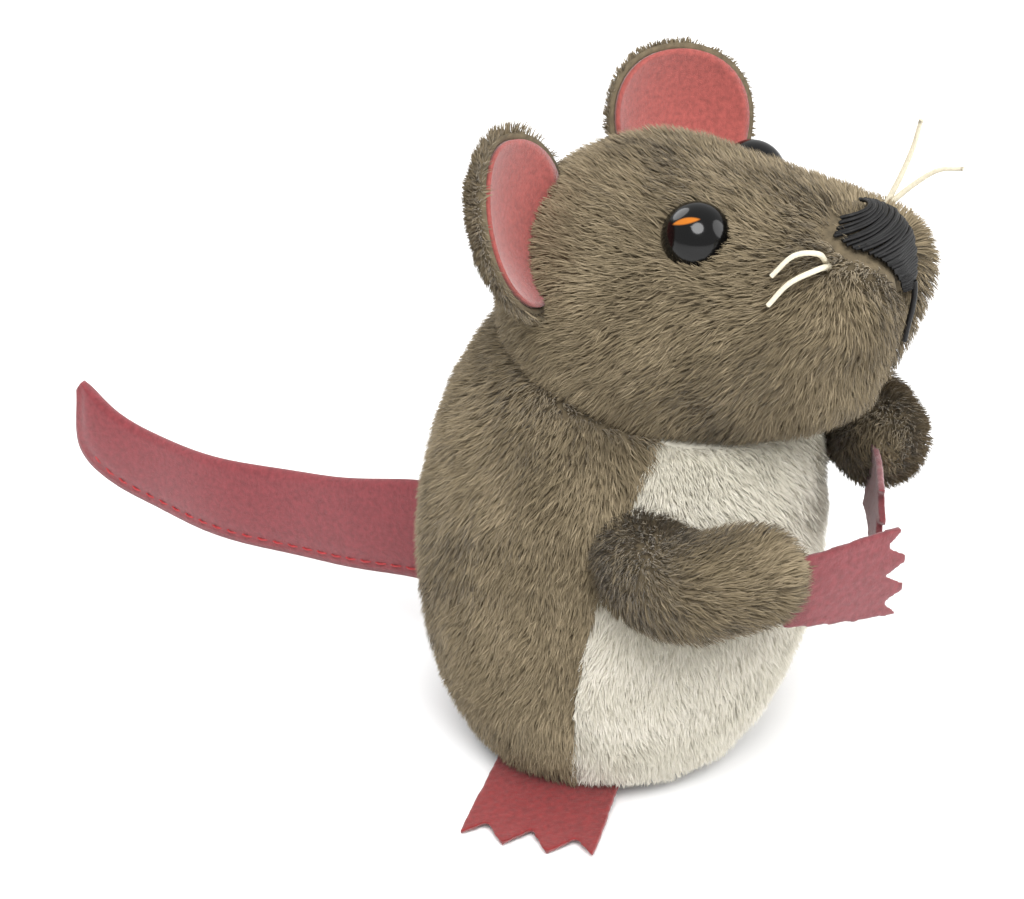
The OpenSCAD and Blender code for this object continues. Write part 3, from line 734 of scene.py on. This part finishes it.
def off_the_face(p, n):
    """Leaves out strands at the neck and under the eyes, the nose and the mouth's groove."""
    local = in_head(p)
    kept = above_neck(p) > 0.2
    for eye in EYES.values():
        kept &= np.linalg.norm(local - eye, axis=1) > EYE_R - 0.4
    x, y, z = local.T
    kept &= ~((y < MUZZLE_Y) & (abs(x) < 1.0) & (z < 0) & (z > -12))
    threads = nearest_of(np.vstack(NOSE_LINES))
    kept &= np.array([q[1] > NOSE_BACK or threads.find(q)[2] > THREAD_CLEAR for q in local])
    return kept


def short_at_the_mouth(p):
    local = in_head(p)
    near = (local[:, 1] < -29) & (local[:, 2] < 9)
    return np.where(near, 0.45 + 0.55 * np.clip(np.abs(local[:, 0]) / 6, 0, 1), 1)


# Painted light: strands that face up are lightened as if lit from above; base shifts the whole pile's tone.
def painted_light_on_top(base):
    def tone(p, n):
        return base + 0.2 * n[:, 2]
    return tone


def make_head():
    skin = head_form()
    skin.data.materials.append(GREY_SKIN)
    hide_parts("head_plush", "head_stuffing")
    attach(skin, "head")
    for piece in grow_fur("head_pile", skin, back_over_the_head, GREY_PILE, 31, off_the_face,
                          tone=painted_light_on_top(-0.16), trim=short_at_the_mouth):
        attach(piece, "head")


def egg_distance(p):
    """How far each point lies outside the body's skin, roughly."""
    d = p - BODY_CENTRE
    far = np.linalg.norm(d, axis=1)
    return far - egg_radius(d / far[:, None], -SKIN_DEPTH)


def outside_the_body(p, n):
    return egg_distance(p) > -1.2


def make_arm(side):
    skin = arm_form(side)
    skin.data.materials.append(GREY_SKIN)
    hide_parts(f"{side}_arm_plush", f"{side}_arm_stuffing")
    line = arm_line(side)
    tree = nearest_of(line)
    ahead = np.gradient(line, axis=0)

    def along_the_arm(p):
        return ahead[[tree.find(q)[1] for q in p]]

    pieces = grow_fur(f"{side}_arm_pile", skin, along_the_arm, GREY_PILE,
                      41 if side == "right" else 51, outside_the_body,
                      tone=painted_light_on_top(-0.2), height=1.8)
    for piece in [skin] + pieces:
        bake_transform(piece)


# ---- Ears ----

EAR_POS = {"right": np.array([-20.0, 9.0, 20.0]), "left": np.array([18.2, 1.8, 18.6])}
EAR_DIR = {"right": np.array([0.12, -0.99, -0.06]), "left": np.array([-0.40, -0.90, 0.10])}
EAR_R, EAR_DEPTH = 12.5, 4.6
EAR_BALL = (EAR_R ** 2 + EAR_DEPTH ** 2) / (2 * EAR_DEPTH)
EAR_PILE = {"right": 2.3, "left": 1.3}
EAR_WAVE = 0.35
EAR_RINGS, EAR_SIDES = 14, 56


def ear_surface(side, inset, offset):
    """Rings of points over the ear's cup, inset from its rim and offset out of its back."""
    across, up, out = frame_along(EAR_DIR[side])
    angle = np.linspace(0, 2 * math.pi, EAR_SIDES, endpoint=False)
    rim = EAR_R - inset + EAR_WAVE * np.sin(3 * angle + 1)[None, :]
    reach = np.linspace(0, 1, EAR_RINGS)[:, None] * rim
    sag = EAR_BALL - np.sqrt(EAR_BALL ** 2 - reach ** 2)
    wave = EAR_WAVE * np.sin(2 * angle + 0.6)[None, :] * (reach / EAR_R) ** 2
    p = (EAR_POS[side] + across * (reach * np.cos(angle))[:, :, None]
         + up * (reach * np.sin(angle))[:, :, None] + out * (sag + wave - offset)[:, :, None])
    return from_head(p.reshape(-1, 3))


def ear_shell(name, side, inset, front, back):
    """A closed sheet between two offsets of the ear's cup."""
    n = EAR_RINGS * EAR_SIDES
    k = n - EAR_SIDES + np.arange(EAR_SIDES)
    after = n - EAR_SIDES + (np.arange(EAR_SIDES) + 1) % EAR_SIDES
    cup = grid_faces(EAR_RINGS, EAR_SIDES, True)
    faces = np.vstack([cup, cup[:, ::-1] + n, np.stack([k, after, n + after, n + k], 1)])
    vertices = np.vstack([ear_surface(side, inset, front), ear_surface(side, inset, back)])
    obj = make_object(name, vertices, faces)
    bm = bmesh.new()
    bm.from_mesh(obj.data)
    bmesh.ops.remove_doubles(bm, verts=bm.verts, dist=0.00002)
    bmesh.ops.recalc_face_normals(bm, faces=bm.faces)
    bm.to_mesh(obj.data)
    bm.free()
    return obj


def make_ear(side):
    back = ear_shell(f"{side}_ear_backing", side, 0, 0.2, 1.6)
    back.data.materials.append(GREY_SKIN)
    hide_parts(f"{side}_ear_back")
    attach(back, "head")
    out = turn_from_head(EAR_DIR[side])
    centre = from_head(EAR_POS[side])

    def behind(p, n):
        local = in_head(p) - HEAD_HEART
        far = np.linalg.norm(local, axis=1)
        clear = far > head_radius(local / far[:, None], -SKIN_DEPTH)
        return clear & ((n @ out < 0.35) & (np.linalg.norm(p - centre, axis=1) > 1))

    def outward(p):
        return p - centre + out * 3.0

    for piece in grow_fur(f"{side}_ear_pile", back, outward, GREY_PILE, 61 + len(side), behind,
                          length=EAR_PILE[side], height=0.6 * EAR_PILE[side]):
        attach(piece, "head")
    lining = ear_shell(f"{side}_ear_felt", side, 0.9, -0.75, 0.15)
    lining.data.materials.append(EAR_FELT)
    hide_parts(f"{side}_ear_lining")
    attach(lining, "head")


# ---- Face ----

# The eyes look along their own place in the head, with its forward and upward parts shortened by these
EYE_FACING = np.array([1, 0.35, 0.8])
DOME_ANGLE = math.radians(118)


def make_eye(side, gloss):
    """A domed safety eye, in its own frame with +Z out of the head."""
    p = EYES[side]
    across, up, out = frame_along(turn_from_head(p * EYE_FACING))
    place = from_head(p) - out * EYE_SUNK[side]
    rings, sides = 20, 48
    tilt = np.linspace(0.001, DOME_ANGLE, rings)
    angle = np.linspace(0, 2 * math.pi, sides, endpoint=False)
    x = EYE_R * np.sin(tilt)[:, None] * np.cos(angle)
    y = EYE_R * np.sin(tilt)[:, None] * np.sin(angle)
    z = (EYE_R * np.cos(tilt))[:, None] * np.ones(sides)
    vertices = np.stack([x, y, z], -1).reshape(-1, 3)
    obj = make_object(f"{side}_eye_dome", vertices, grid_faces(rings, sides, True))
    obj.data.materials.append(gloss)
    matrix = np.eye(4)
    matrix[:3] = np.stack([across, up, out, place * MM], 1)
    obj.matrix_world = Matrix(matrix.tolist())
    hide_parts(f"{side}_eye")
    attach(obj, "head")


def make_nose():
    threads = [tube("thread", from_head(line), 0.3, 7) for line in NOSE_LINES]
    nose = join("nose_satin", threads)
    nose.data.materials.append(BLACK_THREAD)
    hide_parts("nose_embroidery")
    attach(nose, "head")


def make_mouth():
    """The thread that pulls the muzzle in below the nose."""
    top, bottom = -2.6, -11.2
    line = [face_point(0.0, z, -0.4 - 0.3 * math.sin(math.pi * min(1, (top - z) / 9)))
            for z in np.linspace(top, bottom, 14)]
    mouth = tube("mouth_thread", from_head(catmull(line, 2)), 0.42, 9)
    mouth.data.materials.append(BLACK_THREAD)
    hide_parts("mouth_stitch")
    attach(mouth, "head")


# Each whisker's path from the muzzle to its tip, in the head's frame
WHISKERS = {
    "right": [[(-10.2, -33.2, 5), (-12.8, -33.8, 7.4), (-14.6, -31.2, 8.2), (-16.0, -27.8, 6.2)],
              [(-10.4, -33.6, 4.6), (-13.4, -33.4, 5.4), (-15.8, -30.0, 4.8), (-17.4, -26.8, 2.6)]],
    "left": [[(10.2, -33.2, 5), (12.0, -36.0, 8.6), (12.8, -38.6, 12.2), (12.6, -41.0, 16.0)],
             [(10.4, -33.4, 5), (12.2, -37.4, 7.0), (12.8, -41.4, 8.4), (12.6, -45.2, 8.2)]],
}


def make_whiskers(side):
    strands = []
    for path in WHISKERS[side]:
        line = catmull(path, 7)
        strands.append(tube("strand", from_head(line), np.linspace(0.44, 0.34, len(line)), 8))
    whiskers = join(f"{side}_whisker_threads", strands)
    whiskers.data.materials.append(CREAM_THREAD)
    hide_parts(f"{side}_whiskers")
    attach(whiskers, "head")


# ---- Felt ----

FELT_T = 1.0
FELT_GRID = 0.42

# The felt's unevenness, as height, width and seed
FELT_FUZZ = ((0.05, 1.1, 5), (0.04, 0.6, 6))


def felt_plate(name, outline, material, bend):
    """A felt piece cut to the outline, with softened edges, shaped by bend.

    It is cut and remeshed at a unit for each millimetre, and set_points brings it down to metres.
    """
    outline = np.asarray(outline, float)
    n = len(outline)
    bm = bmesh.new()
    low = [bm.verts.new((x, y, -FELT_T / 2)) for x, y in outline]
    high = [bm.verts.new((x, y, FELT_T / 2)) for x, y in outline]
    bm.faces.new(low[::-1])
    bm.faces.new(high)
    for i in range(n):
        bm.faces.new([low[i], low[(i + 1) % n], high[(i + 1) % n], high[i]])
    bmesh.ops.triangulate(bm, faces=bm.faces)
    mesh = bpy.data.meshes.new(name)
    bm.to_mesh(mesh)
    bm.free()
    obj = bpy.data.objects.new(name, mesh)
    bpy.context.scene.collection.objects.link(obj)
    remesh = obj.modifiers.new("remesh", "REMESH")
    remesh.mode = "VOXEL"
    remesh.voxel_size = FELT_GRID
    remesh.use_smooth_shade = True
    smooth = obj.modifiers.new("smooth", "SMOOTH")
    smooth.factor, smooth.iterations = 0.5, 3
    apply_modifiers(obj)
    p = points_of(obj) * MM
    normal = normals_of(obj)
    p += normal * sum(height * waves(p, size, seed) for height, size, seed in FELT_FUZZ)[:, None]
    set_points(obj, bend(p))
    obj.data.materials.clear()
    obj.data.materials.append(material)
    obj.data.polygons.foreach_set("use_smooth", np.ones(len(obj.data.polygons), bool))
    return obj


def paw_outline(length, root_w, tip_w, notch):
    """A paw from its root at x = 0 towards +X, with four points."""
    tips = [(length - (0.8 if i in (0, 3) else 0), tip_w * (i / 3 - 0.5)) for i in range(4)]
    outline = [(0, -root_w / 2), (length - notch - 1.4, -tip_w / 2 + 0.1)]
    for i, tip in enumerate(tips):
        outline.append(tip)
        if i < 3:
            outline.append((length - notch, (tip[1] + tips[i + 1][1]) / 2))
    return outline + [(length - notch - 1.4, tip_w / 2 - 0.1), (0, root_w / 2)]


# How the hands are turned and moved from the wrist
HAND_OUT = 4
HAND_TURN = {"right": 222, "left": 212}
HAND_SHIFT = {"right": [0.4, -0.8, -5.0], "left": [-1.2, 1.8, -3.6]}


def make_hand(side):
    """The felt hand sewn into the end of an arm, shaped on the left and mirrored for the right."""
    sign = 1 if side == "left" else -1
    wrist = arm_line("left")[-1] + HAND_SHIFT[side]
    turn = rotation("z", math.radians(HAND_TURN[side]))

    def bend(p):
        q = p + [HAND_OUT, 0, 0]
        curl = 0.5 * np.sin(q[:, 0] / 5.0) + 0.35 * np.sin(q[:, 1] / 3.5 + 1)
        standing = np.stack([q[:, 0], q[:, 2] + curl, q[:, 1]], 1)
        placed = standing @ turn.T + wrist
        placed[:, 0] *= sign
        return placed

    hand = felt_plate(f"{side}_hand_felt", paw_outline(18.5, 11, 14.4, 3.8), HAND_FELT, bend)
    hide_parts(f"{side}_hand")
    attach(hand, f"{side}_arm")


FOOT_SLOPE, FOOT_TURN = math.radians(4.4), math.radians(-13)
FOOT_POS = [16.4, -2, -0.12]


def make_foot(side):
    sign = 1 if side == "left" else -1
    tilt = rotation("y", FOOT_SLOPE) @ rotation("z", FOOT_TURN)

    def bend(p):
        q = p.copy()
        q[:, 2] += 0.16 * np.sin(q[:, 0] / 3.4) + 0.14 * np.sin(q[:, 1] / 3.1) - 0.5
        placed = q @ tilt.T + FOOT_POS
        placed[:, 0] *= sign
        placed[:, 2] = np.maximum(placed[:, 2], FLOOR_Z + 0.05)
        return placed

    foot = felt_plate(f"{side}_foot_felt", paw_outline(19.6, 19.6, 20.6, 4.4), FOOT_FELT, bend)
    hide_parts(f"{side}_foot")
    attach(foot, "torso")


# The tail's folded upper edge and its sewn lower edge, from the body to the turned-up tip, as y and z
TAIL_TOP = [(27.4, 31.2), (34, 30.4), (49.5, 26.6), (64.5, 24.8), (80.5, 24.4), (90, 26.0), (97.4, 30.6)]
TAIL_BOTTOM = [(27.4, 13.4), (34, 13), (49.5, 11), (64.5, 10.1), (80.5, 11), (92, 13.2), (98.4, 18.4),
               (98.2, 29.2)]
TAIL_ROOT = 28.4
TAIL_LAYER = 0.95
TAIL_STATIONS = 130
STITCH_PITCH, STITCH_LEN, STITCH_UP = 2.8, 1.9, 1.6


def run_along(line):
    """The distance along the line at each of its points."""
    return np.concatenate([[0], np.cumsum(np.linalg.norm(np.diff(line, axis=0), axis=1))])


def even_line(points, count):
    """count points evenly along a smooth line through the points."""
    line = catmull(points, 24)
    run = run_along(line)
    at = np.linspace(0, run[-1], count)
    return np.stack([np.interp(at, run, line[:, k]) for k in range(line.shape[1])], 1)


def tail_wave(y):
    return (0.5 * np.sin((y - TAIL_ROOT) / 9) + 0.3 * np.sin((y - TAIL_ROOT) / 4.3 + 1)) * (y > TAIL_ROOT)


def tail_section():
    """The fold's outer and inner faces in one slice, as height from the sewn edge and side, 1 being full."""
    fold = np.linspace(0, math.pi / 2, 6)[1:]
    rise = np.concatenate([np.linspace(0, 0.9, 16), 0.9 + 0.1 * np.sin(fold)])
    bulge = np.concatenate([np.ones(16), np.cos(fold)])
    outer = np.concatenate([np.stack([rise, bulge], 1), np.stack([rise, -bulge], 1)[-2::-1]])
    inner = outer[::-1] * [0.97, 0.08]
    inner[:, 0] = np.minimum(inner[:, 0], 0.95)
    return outer, inner


def tail_strip():
    """One strip of felt folded along its top edge, with two layers and its sewn edge puckered."""
    top, low = even_line(TAIL_TOP, TAIL_STATIONS), even_line(TAIL_BOTTOM, TAIL_STATIONS)
    outer, inner = tail_section()
    rings = []
    for i in range(TAIL_STATIONS):
        span = np.linalg.norm(top[i] - low[i])
        phase = np.linalg.norm(low[i] - low[0]) / STITCH_PITCH * 2 * math.pi
        fullness = min(1, span / 8)
        for k, (up, side) in enumerate(np.vstack([outer, inner])):
            at = low[i] + (top[i] - low[i]) * up
            pucker = math.exp(-((up * span - STITCH_UP) / 1.1) ** 2) * (0.24 + 0.1 * math.cos(phase))
            thick = TAIL_LAYER + 0.5 * math.sin(math.pi * up) * fullness - pucker
            rings.append((side * (thick if k < len(outer) else 1) + tail_wave(at[0]), at[0], at[1]))
    count = len(outer) * 2
    k = np.arange(len(outer))
    caps = [np.stack([base + k[:-1], base + k[1:], base + count - 2 - k[:-1], base + count - 1 - k[:-1]], 1)
            for base in (0, (TAIL_STATIONS - 1) * count)]
    tail = make_object("tail_felt_strip", rings, np.vstack([grid_faces(TAIL_STATIONS, count, True)] + caps))
    bm = bmesh.new()
    bm.from_mesh(tail.data)
    bmesh.ops.recalc_face_normals(bm, faces=bm.faces)
    bm.to_mesh(tail.data)
    bm.free()
    return tail


def tail_stitches():
    """Short stitches on both sides of the tail, along its sewn edge."""
    edge = even_line(TAIL_BOTTOM[:-1], 400)
    ahead = unit(np.gradient(edge, axis=0))
    line = edge + np.stack([-ahead[:, 1], ahead[:, 0]], 1) * STITCH_UP
    run = run_along(line)
    bow = np.sin(np.linspace(0, math.pi, 6))
    stitches = []
    for start in np.arange(3, run[-1] - STITCH_PITCH, STITCH_PITCH):
        at = start + np.linspace(0, STITCH_LEN, 6)
        y, z = (np.interp(at, run, line[:, k]) for k in range(2))
        for side in (-1, 1):
            x = side * (TAIL_LAYER - 0.25 + 0.42 * bow) + tail_wave(y)
            stitches.append(tube("stitch", np.stack([x, y, z], 1), 0.2, 6))
    return join("tail_stitch_thread", stitches)


def make_tail():
    tail = tail_strip()
    tail.data.materials.append(TAIL_FELT)
    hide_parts("tail_felt")
    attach(tail, "tail")
    thread = tail_stitches()
    thread.data.materials.append(RED_THREAD)
    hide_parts("tail_stitching")
    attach(thread, "tail")


# ---- Clockwork ----

def dress_clockwork():
    """Gives each CAD node that still shows the material of its slot."""
    looks = {
        "steel": STEEL, "brass": BRASS, "key_brass": BRASS, "black_plastic": BLACK_PLASTIC,
        "white_plastic": WHITE_PLASTIC, "red_plastic": RED_PLASTIC, "tyre_rubber": RUBBER,
    }
    for row in frame["record"]["subparts"]:
        node = frame["nodes"].get(row["node"])
        look = looks.get(row["material_slot"])
        if node is None or node.hide_render or look is None:
            continue
        node.data.materials.clear()
        node.data.materials.append(look)


# ---- Camera, floor and light ----

def make_camera():
    turn, rise, distance = math.radians(-60), math.radians(30), 480
    target = np.array([-7.7, 11.6, 46.4])
    away = np.array([math.sin(turn) * math.cos(rise), -math.cos(turn) * math.cos(rise), math.sin(rise)])
    data = bpy.data.cameras.new("camera")
    data.lens, data.sensor_width = 113.9, 36
    data.clip_start, data.clip_end = 0.01, 20
    camera = bpy.data.objects.new("camera", data)
    camera.location = tuple((target + away * distance) * MM)
    camera.rotation_euler = Vector(tuple(-away)).to_track_quat("-Z", "Y").to_euler()
    bpy.context.scene.collection.objects.link(camera)
    bpy.context.scene.camera = camera


def make_floor():
    radius, sides = 3000, 64
    angle = np.linspace(0, 2 * math.pi, sides, endpoint=False)
    ring = np.stack([radius * np.cos(angle), radius * np.sin(angle), np.full(sides, FLOOR_Z)], 1)
    k = np.arange(sides)
    faces = np.stack([np.full(sides, sides), k, (k + 1) % sides], 1)
    floor = make_object("floor", np.vstack([ring, [0, 0, FLOOR_Z]]), faces)
    floor.data.materials.append(principled("floor_white", (0.9, 0.9, 0.9), 0.9)[0])


def make_lights():
    """Three round soft lights, each with its place in metres, power in watts and width in metres."""
    aim = Vector((0, 0, 0.05))
    for name, place, energy, size in (
        ("key", (-0.55, -0.35, 0.95), 16, 0.7),
        ("fill", (0.5, -0.9, 0.5), 7, 0.9),
        ("back", (0.3, 0.9, 0.8), 7, 0.8),
    ):
        data = bpy.data.lights.new(name, "AREA")
        data.shape, data.energy, data.size = "DISK", energy, size
        light = bpy.data.objects.new(name, data)
        light.location = place
        light.rotation_euler = (aim - Vector(place)).to_track_quat("-Z", "Y").to_euler()
        bpy.context.scene.collection.objects.link(light)
    world = bpy.data.worlds.new("studio")
    world.use_nodes = True
    background = world.node_tree.nodes["Background"]
    background.inputs["Color"].default_value = (1, 1, 1, 1)
    background.inputs["Strength"].default_value = 0.75
    bpy.context.scene.world = world
    bpy.context.scene.view_settings.view_transform = "Standard"


make_camera()
make_floor()
make_lights()
make_body()
make_head()
gloss = eye_material()
for side in ("right", "left"):
    make_arm(side)
    make_hand(side)
    make_foot(side)
    make_ear(side)
    make_eye(side, gloss)
    make_whiskers(side)
make_nose()
make_mouth()
make_tail()
dress_clockwork()

bpy.context.view_layer.update()
